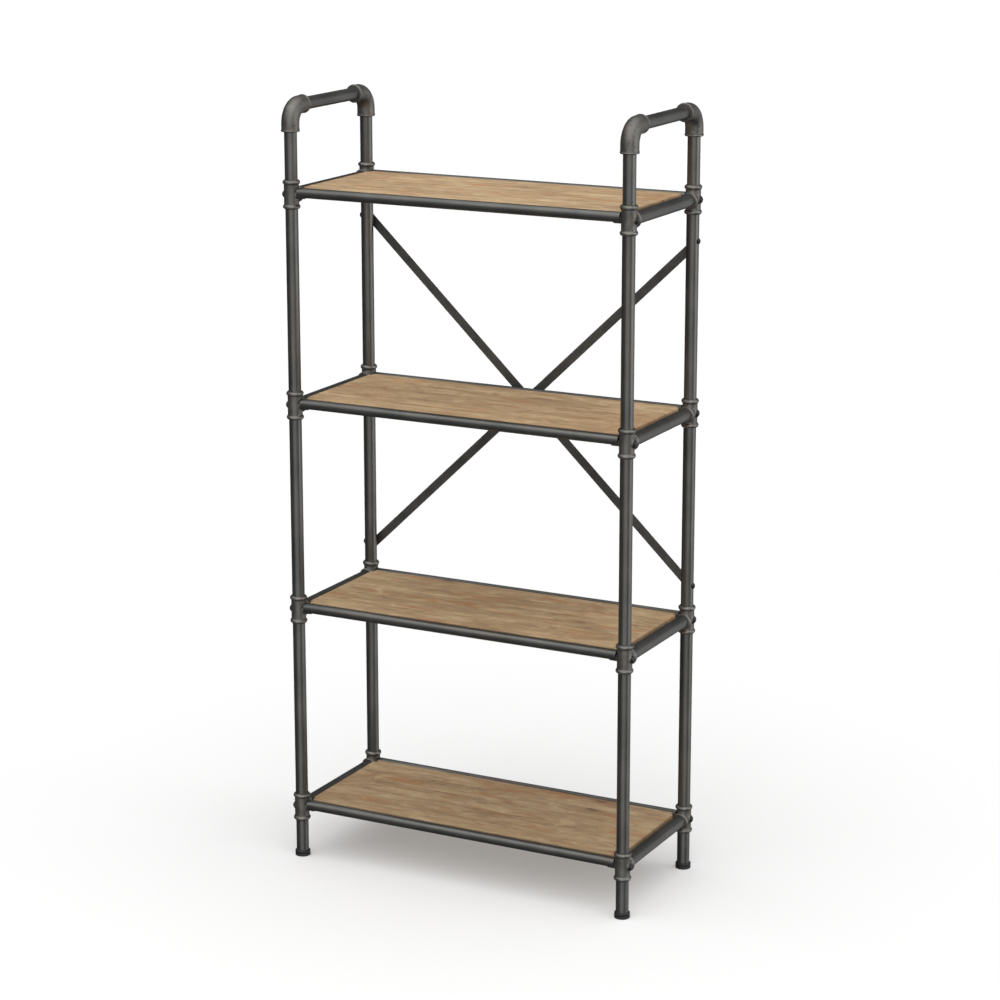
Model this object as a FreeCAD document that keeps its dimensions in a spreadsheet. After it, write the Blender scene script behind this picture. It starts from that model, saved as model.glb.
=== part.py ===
import FreeCAD, Part
import os
import re
import Sketcher
from FreeCAD import Placement, Rotation, Vector

# Bookcase of dark steel pipe with cast-look fittings and four wooden shelves.
# Millimetres. Origin on the floor at the middle of the plan, +Z up, the front faces -Y.

doc = FreeCAD.newDocument("PipeBookcase")

SIZES = [
    ("axis_width", 730, "between the left and right upright axes"),
    ("axis_depth", 296, "between the front and rear upright axes"),
    ("base_level", 107, "floor to the axis of the bottom shelf frame"),
    ("shelf_pitch", 424, "between neighbouring shelf frame axes"),
    ("handle_rise", 173, "top shelf frame axis to handle bar axis"),
    ("pipe_dia", 25.4, "outside of uprights, side rails and handle bars"),
    ("pipe_wall", 1.5, "wall of the pipes"),
    ("slip_gap", 0.1, "all round between a pipe and the fitting over it"),
    ("tee_wall", 2.2, "wall of a tee"),
    ("tee_half", 28.7, "tee centre to either end of its sleeve"),
    ("stop_wall", 3.2, "metal between the upright and the end of a side rail"),
    ("branch_socket", 7, "depth of the socket for a side rail"),
    ("bead_thick", 9, "height of a rolled bead on a tee"),
    ("bead_rise", 2.6, "sleeve bead above the body of the tee"),
    ("branch_bead_rise", 3.4, "branch bead above the body of the tee"),
    ("pad_dia", 16, "flat round pads where the bolt passes"),
    ("pad_rise", 1, "face of a pad above the body of the tee"),
    ("elbow_wall", 3.9, "wall of an elbow at its sockets"),
    ("elbow_bead_thick", 7.6, "height of a rolled bead on an elbow"),
    ("elbow_bead_rise", 2.1, "elbow bead above the body of the elbow"),
    ("elbow_bend", 34, "centre-line radius of the elbow bend"),
    ("elbow_socket", 16, "straight socket at each end of an elbow"),
    ("elbow_lip", 2, "shoulder inside the socket that stops the pipe"),
    ("elbow_step", 2.7, "height of that shoulder above the bore of the bend"),
    ("rail_dia", 20, "outside of the front and rear rails"),
    ("rail_wall", 1.5, "wall of the front and rear rails"),
    ("rail_over", 1.3, "top of a rail above the top of a side rail"),
    ("rail_cap", 2, "plate that closes a rail end"),
    ("boss_long", 14, "threaded boss inside a rail end"),
    ("clip_across", 24, "width of a board clip along the rail"),
    ("clip_reach", 34, "rail axis to the free edge of a board clip"),
    ("clip_thick", 3, "plate of a board clip"),
    ("clip_span", 440, "between the two clips of one rail"),
    ("clip_screw_in", 24, "rail axis to the clip screw"),
    ("board_thick", 15, "shelf board"),
    ("board_under", 0.1, "board face below the top of a side rail"),
    ("board_gap", 1.5, "between a board edge and the rail beside it"),
    ("corner_clear", 1.5, "board corner notch around a tee branch"),
    ("bolt_dia", 6, "shank of the frame bolts"),
    ("bolt_play", 0.3, "all round in a plain bolt hole"),
    ("bolt_head_dia", 15, "dome head"),
    ("bolt_head_tall", 4.2, "dome head"),
    ("bolt_bite", 12, "thread of a frame bolt inside the rail boss"),
    ("screw_dia", 4, "shank of a board screw"),
    ("screw_long", 15, "board screw below the head"),
    ("screw_head_dia", 8, "pan head"),
    ("screw_head_tall", 2.4, "pan head"),
    ("brace_across", 17.5, "width of a brace bar"),
    ("brace_thick", 2.5, "thickness of a brace bar"),
    ("brace_drop", 87, "top shelf frame axis down to a bar at the rear upright axis"),
    ("brace_lift", 64.5, "lower shelf frame axis up to a bar at the rear upright axis"),
    ("brace_clear", 0.5, "between the rear uprights and the first brace bar"),
    ("tab_front", 8, "rear upright axis to the front edge of a brace tab"),
    ("slot_clear", 0.3, "all round a brace tab in the slot of its upright"),
    ("brace_bolt_up", 5.5, "brace bolt above the middle of the bar"),
    ("brace_bolt_past", 3, "end of a brace bolt past the tab"),
    ("brace_head_dia", 12.6, "dome head of a brace bolt"),
    ("brace_head_tall", 3.8, "dome head of a brace bolt"),
    ("foot_rim", 2.8, "foot wider than the pipe over it, all round"),
    ("foot_tall", 12.4, "floor to the pipe end"),
    ("foot_bevel", 1.5, "sloped upper edge of a foot"),
    ("foot_groove", 0.8, "depth of the groove round a foot"),
    ("foot_groove_tall", 1.4, "height of the groove round a foot"),
    ("stud_dia", 8, "threaded stud of a foot"),
    ("stud_sunk", 8, "stud inside the foot"),
    ("stud_up", 26, "stud above the foot"),
    ("thread_play", 0.08, "all round between the stud and its insert"),
    ("insert_tall", 22, "threaded insert in the pipe end"),
]

dims = doc.addObject("Spreadsheet::Sheet", "dims")
for row, (alias, value, note) in enumerate(SIZES, start=1):
    dims.set("A%d" % row, alias)
    dims.set("B%d" % row, str(value))
    dims.setAlias("B%d" % row, alias)
    dims.set("C%d" % row, note)
doc.recompute()

# Sizes that follow from the sheet, written once here and spelled out wherever they are used.
FOLLOWS = {
    "socket_dia": "(<pipe_dia> + 2 * <slip_gap>)",
    "bore_dia": "(<pipe_dia> - 2 * <pipe_wall>)",
    "tee_dia": "(<socket_dia> + 2 * <tee_wall>)",
    "bead_dia": "(<tee_dia> + 2 * <bead_rise>)",
    "branch_bead_dia": "(<tee_dia> + 2 * <branch_bead_rise>)",
    "tee_stop": "(<pipe_dia> / 2 + <slip_gap> + <stop_wall>)",
    "tee_branch": "(<tee_stop> + <branch_socket>)",
    "pad_reach": "(<tee_dia> / 2 + <pad_rise>)",
    "elbow_dia": "(<socket_dia> + 2 * <elbow_wall>)",
    "elbow_bead_dia": "(<elbow_dia> + 2 * <elbow_bead_rise>)",
    "elbow_bore": "(<pipe_dia> - 2 * <elbow_step>)",
    "elbow_stop": "(<elbow_bend> + <elbow_lip>)",
    "rail_rise": "(<pipe_dia> / 2 + <rail_over> - <rail_dia> / 2)",
    "rail_bore": "(<rail_dia> - 2 * <rail_wall>)",
    "board_top": "(<pipe_dia> / 2 - <board_under>)",
    "clip_low": "(<board_top> - <board_thick> - <clip_thick>)",
    "bolt_hole": "(<bolt_dia> + 2 * <bolt_play>)",
    "brace_back": "(<pipe_dia> / 2 + <brace_clear>)",
    "top_level": "(<base_level> + 3 * <shelf_pitch>)",
    "handle_level": "(<top_level> + <handle_rise>)",
    "upper_bar_level": "(<top_level> - <brace_drop>)",
    "lower_bar_level": "(<base_level> + <shelf_pitch> + <brace_lift>)",
    "brace_climb": "(<upper_bar_level> - <lower_bar_level>)",
    "brace_upright": "(<brace_across> * sqrt(1 + (<brace_climb> / <axis_width>) ^ 2))",
    "foot_dia": "(<pipe_dia> + 2 * <foot_rim>)",
}

nodes = []


def cell(text):
    """Spell out the sizes that follow from others, then point every <size> at its cell."""
    while any("<%s>" % name in text for name in FOLLOWS):
        for name, formula in FOLLOWS.items():
            text = text.replace("<%s>" % name, formula)
    return re.sub(r"<(\w+)>", r"dims.\1", text)


def bind(item, **formulas):
    for prop, formula in formulas.items():
        item.setExpression(prop, cell(formula))
    return item


def place(item, x="0", y="0", z="0", turn=(0, 0, 1, 0)):
    """Turn an item by (axis, degrees) and tie its position to the sheet."""
    item.Placement = Placement(Vector(0, 0, 0), Rotation(Vector(*turn[:3]), turn[3]))
    for coordinate, formula in zip("xyz", (x, y, z)):
        if formula != "0":
            item.setExpression("Placement.Base." + coordinate, cell(formula))
    return item


ALONG_X = (0, 1, 0, 90)
BACK_X = (0, 1, 0, -90)
ALONG_Y = (1, 0, 0, -90)
UPRIGHT = (0, 0, 1, 0)


def rod(dia, length, x="0", y="0", z="0", turn=UPRIGHT):
    """Round bar that starts at the given point and runs along the turned Z axis."""
    item = doc.addObject("Part::Cylinder", "Rod")
    bind(item, Radius="(%s) / 2" % dia, Height=length)
    return place(item, x, y, z, turn)


def block(length, width, height, x="0", y="0", z="0"):
    item = doc.addObject("Part::Box", "Block")
    bind(item, Length=length, Width=width, Height=height)
    return place(item, x, y, z)


def bead(dia, thick, x="0", y="0", z="0", turn=UPRIGHT):
    """Rolled bead: a ring whose outside is the given diameter."""
    item = doc.addObject("Part::Torus", "Bead")
    bind(item, Radius1="(%s) / 2 - (%s) / 2" % (dia, thick), Radius2="(%s) / 2" % thick)
    return place(item, x, y, z, turn)


def joined(items, name="Joined"):
    item = doc.addObject("Part::MultiFuse", name)
    item.Shapes = items
    item.Refine = True
    return item


def carved(base, tools, name="Carved"):
    item = doc.addObject("Part::Cut", name)
    item.Base = base
    item.Tool = tools[0] if len(tools) == 1 else joined(tools, "Tools")
    item.Refine = True
    return item


def bundle(items, name):
    item = doc.addObject("Part::Compound", name)
    item.Links = items
    return item


def keep(item, label):
    item.Label = label
    nodes.append(item)
    return item


LEVELS = ["bottom", "lower", "upper", "top"]
SIDES = [("left", -1), ("right", 1)]
ENDS = [("front", -1), ("rear", 1)]


def level_z(index):
    return "<base_level> + %d * <shelf_pitch>" % index


def corner_x(sign):
    return "%d * <axis_width> / 2" % sign


def corner_y(sign):
    return "%d * <axis_depth> / 2" % sign


def outward(sign):
    """Turn that points the Z axis of a rod away from the middle, left or right."""
    return ALONG_X if sign > 0 else BACK_X


def inward(sign):
    """Turn that points the Z axis of a rod toward the middle."""
    return outward(-sign)


# Uprights: pipes from the feet to the stops inside the elbows, cross-drilled for the bolts.
# The rear ones are slotted at the back for the brace tabs.
def upright(end, end_sign, side, side_sign):
    length = "<handle_level> - <elbow_stop> - <foot_tall>"
    outer = rod("<pipe_dia>", length)
    cuts = [rod("<bore_dia>", length)]
    for index in range(4):
        cuts.append(rod("<bolt_hole>", "2 * <pipe_dia>", x="-<pipe_dia>",
                        z="%s - <foot_tall>" % level_z(index), turn=ALONG_X))
    if end == "rear":
        for height in ("<upper_bar_level>", "<lower_bar_level>"):
            cuts.append(rod("<bolt_hole>", "<pipe_dia>", z="%s + <brace_bolt_up> - <foot_tall>" % height,
                            turn=outward(side_sign)))
            cuts.append(block("<brace_thick> + 2 * <slot_clear>", "<pipe_dia>",
                              "<brace_upright> + 2 * <slot_clear>",
                              x="-<brace_thick> / 2 - <slot_clear>",
                              z="%s - <foot_tall> - <brace_upright> / 2 - <slot_clear>" % height))
    item = carved(outer, cuts, "Upright")
    place(item, corner_x(side_sign), corner_y(end_sign), "<foot_tall>")
    keep(item, "upright_%s_%s" % (end, side))


# Tees: a sleeve over the upright, a branch that takes the side rail, pads for the bolt.
def tee(index, end, end_sign, side, side_sign):
    solid = joined([
        rod("<tee_dia>", "2 * <tee_half>", z="-<tee_half>"),
        rod("<tee_dia>", "<tee_branch>", turn=ALONG_Y),
        rod("<pad_dia>", "2 * <pad_reach>", x="-<pad_reach>", turn=ALONG_X),
        bead("<bead_dia>", "<bead_thick>", z="<tee_half> - <bead_thick> / 2"),
        bead("<bead_dia>", "<bead_thick>", z="-<tee_half> + <bead_thick> / 2"),
        bead("<branch_bead_dia>", "<bead_thick>",
             y="<tee_branch> - <bead_thick> / 2", turn=ALONG_Y),
    ])
    item = carved(solid, [
        rod("<socket_dia>", "4 * <tee_half>", z="-2 * <tee_half>"),
        rod("<socket_dia>", "<tee_branch>", y="<tee_stop>", turn=ALONG_Y),
        rod("<bolt_hole>", "4 * <pad_reach>", x="-2 * <pad_reach>", turn=ALONG_X),
    ], "Tee")
    turn = (0, 0, 1, 0) if end == "front" else (0, 0, 1, 180)
    place(item, corner_x(side_sign), corner_y(end_sign), level_z(index), turn)
    keep(item, "tee_%s_%s_%s" % (LEVELS[index], end, side))


# Elbows: the bend lies in the YZ plane, one socket down, one socket toward the middle.
def elbow(end, end_sign, side, side_sign):
    def bend(dia):
        item = doc.addObject("Part::Torus", "Bend")
        bind(item, Radius1="<elbow_bend>", Radius2="(%s) / 2" % dia)
        item.Angle3 = 90
        # The quarter ring runs from the downward socket to the inward one.
        item.Placement = Placement(Vector(0, 0, 0),
                                   Rotation(Vector(0, -1, 0), Vector(0, 0, 1), Vector(-1, 0, 0), "XYZ"))
        item.setExpression("Placement.Base.y", cell("<elbow_bend>"))
        item.setExpression("Placement.Base.z", cell("-<elbow_bend>"))
        return item

    down = (1, 0, 0, 180)
    mouth = "<elbow_bend> + <elbow_socket>"
    solid = joined([
        bend("<elbow_dia>"),
        rod("<elbow_dia>", "<elbow_socket>", z="-<elbow_bend>", turn=down),
        rod("<elbow_dia>", "<elbow_socket>", y="<elbow_bend>", turn=ALONG_Y),
        bead("<elbow_bead_dia>", "<elbow_bead_thick>", z="-(%s) + <elbow_bead_thick> / 2" % mouth),
        bead("<elbow_bead_dia>", "<elbow_bead_thick>",
             y="%s - <elbow_bead_thick> / 2" % mouth, turn=ALONG_Y),
    ])
    item = carved(solid, [
        bend("<elbow_bore>"),
        rod("<elbow_bore>", "<elbow_socket>", z="-<elbow_bend>", turn=down),
        rod("<elbow_bore>", "<elbow_socket>", y="<elbow_bend>", turn=ALONG_Y),
        rod("<socket_dia>", "<elbow_socket>", z="-<elbow_stop>", turn=down),
        rod("<socket_dia>", "<elbow_socket>", y="<elbow_stop>", turn=ALONG_Y),
    ], "Elbow")
    turn = (0, 0, 1, 0) if end == "front" else (0, 0, 1, 180)
    place(item, corner_x(side_sign), corner_y(end_sign), "<handle_level>", turn)
    keep(item, "elbow_%s_%s" % (end, side))


# Pipe that lies along Y between two stops, centred on the middle of the depth.
def cross_pipe(label, side_sign, stop, z):
    length = "<axis_depth> - 2 * %s" % stop
    item = carved(rod("<pipe_dia>", length, turn=ALONG_Y),
                  [rod("<bore_dia>", length, turn=ALONG_Y)], "Pipe")
    place(item, corner_x(side_sign), "-<axis_depth> / 2 + %s" % stop, z)
    keep(item, label)


# Front and rear rails: tube, end plates, threaded bosses on the bolt axis and two board clips.
def long_rail(index, end, end_sign):
    toward = -end_sign
    length = "(<axis_width> - 2 * <pad_reach>)"
    clip_y = "0" if toward > 0 else "-<clip_reach>"
    tube = carved(rod("<rail_dia>", length, x="-%s / 2" % length, z="<rail_rise>", turn=ALONG_X),
                  [rod("<rail_bore>", length, x="-%s / 2" % length, z="<rail_rise>", turn=ALONG_X)],
                  "Tube")
    pieces = [tube]
    holes = []
    for sign in (-1, 1):
        tip = "%d * %s / 2" % (sign, length)
        pieces.append(rod("<rail_dia>", "<rail_cap>", x=tip, z="<rail_rise>", turn=inward(sign)))
        pieces.append(rod("<pad_dia>", "<boss_long>", x=tip, turn=inward(sign)))
        pieces.append(clip_plate(sign, clip_y))
        holes.append(rod("<bolt_dia>", "<boss_long>", x=tip, turn=inward(sign)))
        holes.append(rod("<screw_dia>", "4 * <clip_thick>", x="%d * <clip_span> / 2" % sign,
                         y="%d * <clip_screw_in>" % toward,
                         z="<clip_low> - <clip_thick>"))
    item = carved(joined(pieces), holes, "Rail")
    place(item, "0", corner_y(end_sign), level_z(index))
    keep(item, "rail_%s_%s" % (LEVELS[index], end))


def clip_plate(sign, clip_y):
    """Flat clip under the board with a leg up to the rail, both welded to the tube."""
    start = "%d * <clip_span> / 2 - <clip_across> / 2" % sign
    plate = block("<clip_across>", "<clip_reach>", "<clip_thick>", x=start, y=clip_y, z="<clip_low>")
    leg = block("<clip_across>", "<clip_thick>", "<rail_rise> - <clip_low>",
                x=start, y="-<clip_thick> / 2", z="<clip_low>")
    inside = rod("<rail_bore>", "2 * <clip_across>",
                 x="%d * <clip_span> / 2 - <clip_across>" % sign, z="<rail_rise>", turn=ALONG_X)
    return carved(joined([plate, leg]), [inside], "Clip")


def plane_of(body, role):
    return next(item for item in body.Origin.OriginFeatures if item.Role == role)


def outline(body, role, points, name):
    """Closed sketch through points given as pairs of expressions, all held by the sheet."""
    sketch = body.newObject("Sketcher::SketchObject", name)
    sketch.AttachmentSupport = [(plane_of(body, role), "")]
    sketch.MapMode = "FlatFace"
    rough = [tuple(measure(formula) for formula in point) for point in points]
    count = len(points)
    for number in range(count):
        start = Vector(rough[number][0], rough[number][1], 0)
        stop = Vector(rough[(number + 1) % count][0], rough[(number + 1) % count][1], 0)
        sketch.addGeometry(Part.LineSegment(start, stop), False)
    for number in range(count):
        sketch.addConstraint(Sketcher.Constraint("Coincident", number, 2, (number + 1) % count, 1))
    for number, point in enumerate(points):
        for kind, formula, value in zip(("DistanceX", "DistanceY"), point, rough[number]):
            tag = sketch.addConstraint(Sketcher.Constraint(kind, -1, 1, number, 1, value))
            sketch.setExpression("Constraints[%d]" % tag, cell(formula))
    return sketch


def measure(formula):
    """Present value of an expression over the sheet, used to lay out a sketch."""
    return float(dims.evalExpression(cell(formula)))


def pad(body, sketch, length, reverse=False, both=False):
    item = body.newObject("PartDesign::Pad", "Pad")
    item.Profile = sketch
    item.Midplane = both
    item.Reversed = reverse
    item.setExpression("Length", cell(length))
    return item


# Boards: one wooden panel between the rails, notched at the corners for the tee branches,
# with pilot holes for the screws in its underside.
def board(index):
    body = doc.addObject("PartDesign::Body", "Board")
    half_x = "(<axis_width> / 2 - <pipe_dia> / 2 - <board_gap>)"
    half_y = "(<axis_depth> / 2 - <rail_dia> / 2 - <board_gap>)"
    notch_x = "(<axis_width> / 2 - <branch_bead_dia> / 2 - <corner_clear>)"
    notch_y = "(<axis_depth> / 2 - <tee_branch> - <corner_clear>)"
    points = []
    for sx, sy in ((1, 1), (-1, 1), (-1, -1), (1, -1)):
        edge = ("%d * %s" % (sx, half_x), "%d * %s" % (sy, notch_y))
        inner = ("%d * %s" % (sx, notch_x), "%d * %s" % (sy, notch_y))
        face = ("%d * %s" % (sx, notch_x), "%d * %s" % (sy, half_y))
        points += [edge, inner, face] if sx * sy > 0 else [face, inner, edge]
    sketch = outline(body, "XY_Plane", points, "BoardOutline")
    pad(body, sketch, "<board_thick>")
    holes = body.newObject("Sketcher::SketchObject", "PilotHoles")
    holes.AttachmentSupport = [(plane_of(body, "XY_Plane"), "")]
    holes.MapMode = "FlatFace"
    spots = [(sx, sy) for sx in (-1, 1) for sy in (-1, 1)]
    for number, (sx, sy) in enumerate(spots):
        across = "%d * <clip_span> / 2" % sx
        deep = "%d * (<axis_depth> / 2 - <clip_screw_in>)" % sy
        centre = Vector(measure(across), measure(deep), 0)
        holes.addGeometry(Part.Circle(centre, Vector(0, 0, 1), measure("<screw_dia> / 2")), False)
        for kind, formula, value in (("DistanceX", across, centre.x), ("DistanceY", deep, centre.y)):
            tag = holes.addConstraint(Sketcher.Constraint(kind, -1, 1, number, 3, value))
            holes.setExpression("Constraints[%d]" % tag, cell(formula))
        tag = holes.addConstraint(Sketcher.Constraint("Diameter", number, measure("<screw_dia>")))
        holes.setExpression("Constraints[%d]" % tag, cell("<screw_dia>"))
    drill = body.newObject("PartDesign::Pocket", "Pilot")
    drill.Profile = holes
    drill.Reversed = True
    drill.setExpression("Length", cell("<screw_long> - <clip_thick>"))
    body.Tip = drill
    place(body, "0", "0", "%s + <board_top> - <board_thick>" % level_z(index))
    keep(body, "board_%s" % LEVELS[index])


# Brace bars: flat bars corner to corner behind the uprights. Both ends are turned forward as
# tabs that pass through a slot in the back of the upright and take its bolt inside the pipe.
def brace(label, rising, behind):
    body = doc.addObject("PartDesign::Body", "Brace")
    axis_x = "(<axis_width> / 2)"
    tip_x = "(%s + <brace_thick> / 2)" % axis_x
    tip_climb = "(<brace_climb> / 2 * %s / %s)" % (tip_x, axis_x)
    half = "(<brace_upright> / 2)"
    left, right = -rising, rising
    bar = outline(body, "XZ_Plane", [
        ("-1 * %s" % tip_x, "%d * %s - %s" % (left, tip_climb, half)),
        (tip_x, "%d * %s - %s" % (right, tip_climb, half)),
        (tip_x, "%d * %s + %s" % (right, tip_climb, half)),
        ("-1 * %s" % tip_x, "%d * %s + %s" % (left, tip_climb, half)),
    ], "BarOutline")
    pad(body, bar, "<brace_thick>", reverse=True)
    ends = [(-1, left), (1, right)]
    for sign, climbing in ends:
        height = "%d * <brace_climb> / 2" % climbing
        inner = "%d * (%s - <brace_thick> / 2)" % (sign, axis_x)
        outer = "%d * %s" % (sign, tip_x)
        tab = outline(body, "XZ_Plane", [
            (inner, "%s - %s" % (height, half)),
            (outer, "%s - %s" % (height, half)),
            (outer, "%s + %s" % (height, half)),
            (inner, "%s + %s" % (height, half)),
        ], "TabOutline")
        pad(body, tab, "<brace_back> + %d * <brace_thick> + <tab_front>" % behind)
    holes = body.newObject("Sketcher::SketchObject", "TabHoles")
    holes.AttachmentSupport = [(plane_of(body, "YZ_Plane"), "")]
    holes.MapMode = "FlatFace"
    for number, (sign, climbing) in enumerate(ends):
        deep = "-1 * (<brace_back> + %d * <brace_thick>)" % behind
        height = "%d * <brace_climb> / 2 + <brace_bolt_up>" % climbing
        centre = Vector(measure(deep), measure(height), 0)
        holes.addGeometry(Part.Circle(centre, Vector(0, 0, 1), measure("<bolt_dia> / 2")), False)
        for kind, formula, value in (("DistanceX", deep, centre.x), ("DistanceY", height, centre.y)):
            tag = holes.addConstraint(Sketcher.Constraint(kind, -1, 1, number, 3, value))
            holes.setExpression("Constraints[%d]" % tag, cell(formula))
        tag = holes.addConstraint(Sketcher.Constraint("Diameter", number, measure("<bolt_dia>")))
        holes.setExpression("Constraints[%d]" % tag, cell("<bolt_dia>"))
    drill = body.newObject("PartDesign::Pocket", "TabDrill")
    drill.Profile = holes
    drill.Midplane = True
    drill.setExpression("Length", cell("2 * <axis_width>"))
    body.Tip = drill
    place(body, "0", "<axis_depth> / 2 + <brace_back> + %d * <brace_thick>" % behind,
          "(<upper_bar_level> + <lower_bar_level>) / 2")
    keep(body, label)


# Dome-head bolt along the turned Z axis, the seat of the head at the origin.
def dome_bolt(head_dia, head_tall, length, x, y, z, turn):
    ball = "((%s * %s / 4 + %s * %s) / (2 * %s))" % (head_dia, head_dia, head_tall, head_tall, head_tall)
    dome = doc.addObject("Part::Sphere", "Dome")
    bind(dome, Radius=ball, Angle1="asin((%s - %s) / %s)" % (ball, head_tall, ball))
    place(dome, z="%s - %s" % (ball, head_tall), turn=(1, 0, 0, 180))
    item = joined([dome, rod("<bolt_dia>", length)], "Bolt")
    return place(item, x, y, z, turn)


def shelf_bolts():
    bolts = []
    for index in range(4):
        for end, end_sign in ENDS:
            for side, side_sign in SIDES:
                bolts.append(dome_bolt("<bolt_head_dia>", "<bolt_head_tall>",
                                       "2 * <pad_reach> + <bolt_bite>",
                                       "%d * (<axis_width> / 2 + <pad_reach>)" % side_sign,
                                       corner_y(end_sign), level_z(index), inward(side_sign)))
    keep(bundle(bolts, "ShelfBolts"), "shelf_bolts")


def brace_bolts():
    bolts = []
    for side, side_sign in SIDES:
        for height in ("<lower_bar_level>", "<upper_bar_level>"):
            bolts.append(dome_bolt("<brace_head_dia>", "<brace_head_tall>",
                                   "<pipe_dia> / 2 + <brace_thick> / 2 + <brace_bolt_past>",
                                   "%d * (<axis_width> / 2 + <pipe_dia> / 2)" % side_sign,
                                   corner_y(1), "%s + <brace_bolt_up>" % height, inward(side_sign)))
    keep(bundle(bolts, "BraceBolts"), "brace_bolts")


def board_screws():
    screws = []
    for index in range(4):
        for end_sign in (-1, 1):
            for sign in (-1, 1):
                item = joined([
                    rod("<screw_dia>", "<screw_long>"),
                    rod("<screw_head_dia>", "<screw_head_tall>", z="-<screw_head_tall>"),
                ], "Screw")
                place(item, "%d * <clip_span> / 2" % sign,
                      "%d * (<axis_depth> / 2 - <clip_screw_in>)" % end_sign,
                      "%s + <clip_low>" % level_z(index))
                screws.append(item)
    keep(bundle(screws, "BoardScrews"), "board_screws")


# Levelling feet: a round plastic foot on a threaded stud that turns in an insert in the pipe.
def foot(end, end_sign, side, side_sign):
    straight = "(<foot_tall> - <foot_bevel>)"
    bevel = doc.addObject("Part::Cone", "Bevel")
    bind(bevel, Radius1="<foot_dia> / 2", Radius2="<foot_dia> / 2 - <foot_bevel>", Height="<foot_bevel>")
    place(bevel, z=straight)
    ring = carved(rod("2 * <foot_dia>", "<foot_groove_tall>", z="(%s - <foot_groove_tall>) / 2" % straight),
                  [rod("<foot_dia> - 2 * <foot_groove>", "<foot_groove_tall>",
                       z="(%s - <foot_groove_tall>) / 2" % straight)], "Groove")
    item = carved(joined([rod("<foot_dia>", straight), bevel]),
                  [ring, rod("<stud_dia>", "<stud_sunk>", z="<foot_tall> - <stud_sunk>")], "Foot")
    place(item, corner_x(side_sign), corner_y(end_sign), "0")
    keep(item, "foot_%s_%s" % (end, side))
    stud = joined([
        rod("<stud_dia>", "<stud_sunk>", z="-<stud_sunk>"),
        rod("<stud_dia> - 2 * <thread_play>", "<stud_up>"),
    ], "Stud")
    place(stud, corner_x(side_sign), corner_y(end_sign), "<foot_tall>")
    keep(stud, "stud_%s_%s" % (end, side))


def inserts():
    items = []
    for end, end_sign in ENDS:
        for side, side_sign in SIDES:
            item = carved(rod("<bore_dia>", "<insert_tall>"),
                          [rod("<stud_dia>", "<insert_tall>")], "Insert")
            items.append(place(item, corner_x(side_sign), corner_y(end_sign), "<foot_tall>"))
    keep(bundle(items, "Inserts"), "foot_inserts")


for end, end_sign in ENDS:
    for side, side_sign in SIDES:
        upright(end, end_sign, side, side_sign)
        elbow(end, end_sign, side, side_sign)
        foot(end, end_sign, side, side_sign)
        for index in range(4):
            tee(index, end, end_sign, side, side_sign)
for side, side_sign in SIDES:
    cross_pipe("handle_bar_%s" % side, side_sign, "<elbow_stop>", "<handle_level>")
    for index in range(4):
        cross_pipe("side_rail_%s_%s" % (LEVELS[index], side), side_sign, "<tee_stop>", level_z(index))
for index in range(4):
    for end, end_sign in ENDS:
        long_rail(index, end, end_sign)
    board(index)
brace("brace_falling", -1, 0)
brace("brace_rising", 1, 1)
shelf_bolts()
brace_bolts()
board_screws()
inserts()

doc.recompute()

for item in doc.Objects:
    if "Invalid" in item.State or "Error" in item.State:
        raise RuntimeError("%s did not build: %s" % (item.Label, item.State))
for item in nodes:
    if item.Shape.isNull() or not item.Shape.isValid():
        raise RuntimeError("%s has no valid shape" % item.Label)

os.makedirs("parts", exist_ok=True)
for item in nodes:
    item.Shape.exportStep("parts/%s.step" % item.Label)
    box = item.Shape.BoundBox
    print("%-28s solids %2d  volume %10.1f  box %7.1f %7.1f %7.1f  %7.1f %7.1f %7.1f" % (
        item.Label, len(item.Shape.Solids), item.Shape.Volume,
        box.XMin, box.YMin, box.ZMin, box.XMax, box.YMax, box.ZMax))
print("nodes", len(nodes))
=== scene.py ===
import math
import bmesh
import bpy
from mathutils import Matrix, Vector


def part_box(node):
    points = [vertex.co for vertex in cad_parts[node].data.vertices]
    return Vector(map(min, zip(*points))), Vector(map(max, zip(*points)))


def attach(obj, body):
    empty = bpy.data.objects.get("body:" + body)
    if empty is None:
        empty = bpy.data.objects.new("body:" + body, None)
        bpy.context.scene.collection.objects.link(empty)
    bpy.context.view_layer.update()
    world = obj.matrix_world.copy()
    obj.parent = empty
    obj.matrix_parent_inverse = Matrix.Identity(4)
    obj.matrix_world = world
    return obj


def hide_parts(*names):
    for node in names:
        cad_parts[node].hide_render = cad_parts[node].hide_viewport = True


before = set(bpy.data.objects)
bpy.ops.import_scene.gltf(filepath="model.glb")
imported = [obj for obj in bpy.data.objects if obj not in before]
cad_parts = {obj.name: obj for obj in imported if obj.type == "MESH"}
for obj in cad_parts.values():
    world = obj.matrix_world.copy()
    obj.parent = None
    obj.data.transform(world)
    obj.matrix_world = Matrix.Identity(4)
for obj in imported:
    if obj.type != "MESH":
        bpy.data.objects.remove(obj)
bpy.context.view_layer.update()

# Bookcase of dark pipe with cast tees and elbows and four shelves of planks. Metres, +Z up,
# the front faces -Y. Tees, elbows, feet and shelves are made here. Pipes, rails, brace bars,
# bolts, studs, inserts and screws keep the CAD's own shapes and get their finish here.

MM = 0.001
LEVELS = ["bottom", "lower", "upper", "top"]
ENDS = ["front", "rear"]
SIDES = ["left", "right"]
CORNERS = [(end, side) for end in ENDS for side in SIDES]


# ---------------------------------------------------------------- places read from the frame
def middle(node):
    low, high = (Vector(corner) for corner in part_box(node))
    return (low + high) / 2


def extent(node):
    low, high = (Vector(corner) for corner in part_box(node))
    return high - low


def corner(end, side, height=0.0):
    place = middle("upright_%s_%s" % (end, side))
    return Vector((place.x, place.y, height))


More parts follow.
